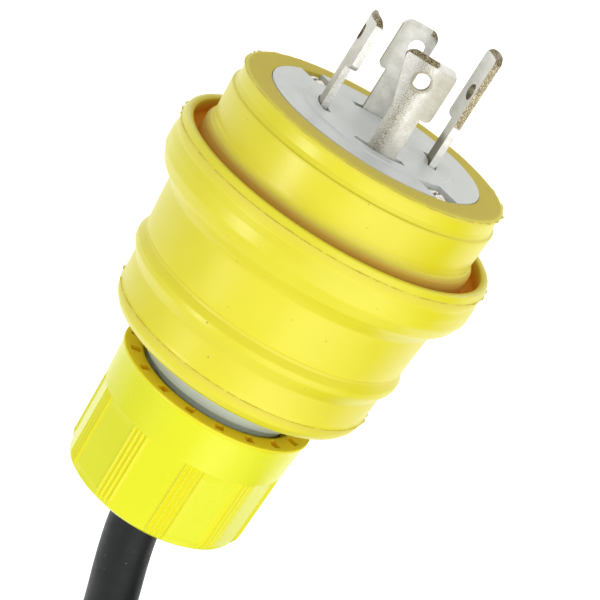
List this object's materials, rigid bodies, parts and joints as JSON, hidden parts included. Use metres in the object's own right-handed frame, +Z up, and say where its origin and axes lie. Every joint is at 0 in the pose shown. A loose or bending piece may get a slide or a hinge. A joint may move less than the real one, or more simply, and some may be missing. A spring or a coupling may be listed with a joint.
{
  "type": "shore power cord",
  "caption": "Heavy shore power cord with a curved-blade locking plug and a locking connector in yellow rubber boots, its spare length coiled.",
  "frame": {"origin": "on the floor under the middle of the plug's bounding box", "axes": "+Z up; +X along the plug's axis, the way its blades point"},
  "size_m": [0.4256, 0.2899, 0.0953],
  "materials": {
    "boot_rubber": "matt moulded rubber",
    "insert_grey": "fine matt moulding",
    "block_plastic": "matt moulding",
    "clamp_brass": "plain",
    "contact_brass": "plain",
    "screw_steel": "plated",
    "blade_metal": "nickel plated brass",
    "core_grey": "matt moulding",
    "seal_rubber": "matt",
    "washer_plastic": "plain",
    "nut_plastic": "satin moulding",
    "cord_jacket": "matt jacket",
    "wire_green": "plain",
    "wire_black": "plain",
    "wire_white": "plain",
    "wire_red": "plain"
  },
  "bodies": {
    "root": {"plug_boot": "boot_rubber", "plug_face_insert": "insert_grey", "plug_terminal_block": "block_plastic", "plug_clamp_plates": "clamp_brass", "plug_terminal_screws": "screw_steel", "plug_assembly_screws": "screw_steel", "plug_core_body": "core_grey", "plug_seal_ring": "seal_rubber", "plug_grommet": "seal_rubber", "plug_cable_end": "cord_jacket", "plug_wire_green": "wire_green", "plug_wire_black": "wire_black", "plug_wire_white": "wire_white", "plug_wire_red": "wire_red", "connector_boot": "boot_rubber", "connector_face_insert": "insert_grey", "connector_terminal_block": "block_plastic", "connector_clamp_plates": "clamp_brass", "connector_terminal_screws": "screw_steel", "connector_assembly_screws": "screw_steel", "connector_core_body": "core_grey", "connector_seal_ring": "seal_rubber", "connector_grommet": "seal_rubber", "connector_cable_end": "cord_jacket", "connector_wire_green": "wire_green", "connector_wire_black": "wire_black", "connector_wire_white": "wire_white", "connector_wire_red": "wire_red", "blade_ground": "blade_metal", "contact_ground": "contact_brass", "blade_line_x": "blade_metal", "contact_line_x": "contact_brass", "blade_neutral": "blade_metal", "contact_neutral": "contact_brass", "blade_line_y": "blade_metal", "contact_line_y": "contact_brass", "cord_run": "cord_jacket", "cord_coil": "cord_jacket", "cord_tail": "cord_jacket"},
    "plug_washer": {"plug_slip_washer": "washer_plastic"},
    "connector_washer": {"connector_slip_washer": "washer_plastic"},
    "plug_nut": {"plug_cord_nut": "nut_plastic"},
    "connector_nut": {"connector_cord_nut": "nut_plastic"}
  },
  "joints": [
    {"name": "plug_nut_travel", "type": "slide", "parent": "root", "child": "plug_washer", "axis": [-1, 0, 0], "range_m": [0, 0.0076]},
    {"name": "plug_nut_turn", "type": "hinge", "parent": "plug_washer", "child": "plug_nut", "pos_m": [-0.0783, 0, 0.04765], "axis": [-1, 0, 0], "range_deg": [0, 900]},
    {"name": "connector_nut_travel", "type": "slide", "parent": "root", "child": "connector_washer", "axis": [-1, 0, 0], "range_m": [0, 0.0076]},
    {"name": "connector_nut_turn", "type": "hinge", "parent": "connector_washer", "child": "connector_nut", "pos_m": [-0.0794, -0.196, 0.0452], "axis": [-1, 0, 0], "range_deg": [0, 900]}
  ],
  "couplings": [
    {"joint": "plug_nut_travel", "follows": "plug_nut_turn", "m_per_rad": 0.00047746},
    {"joint": "connector_nut_travel", "follows": "connector_nut_turn", "m_per_rad": 0.00047746}
  ]
}
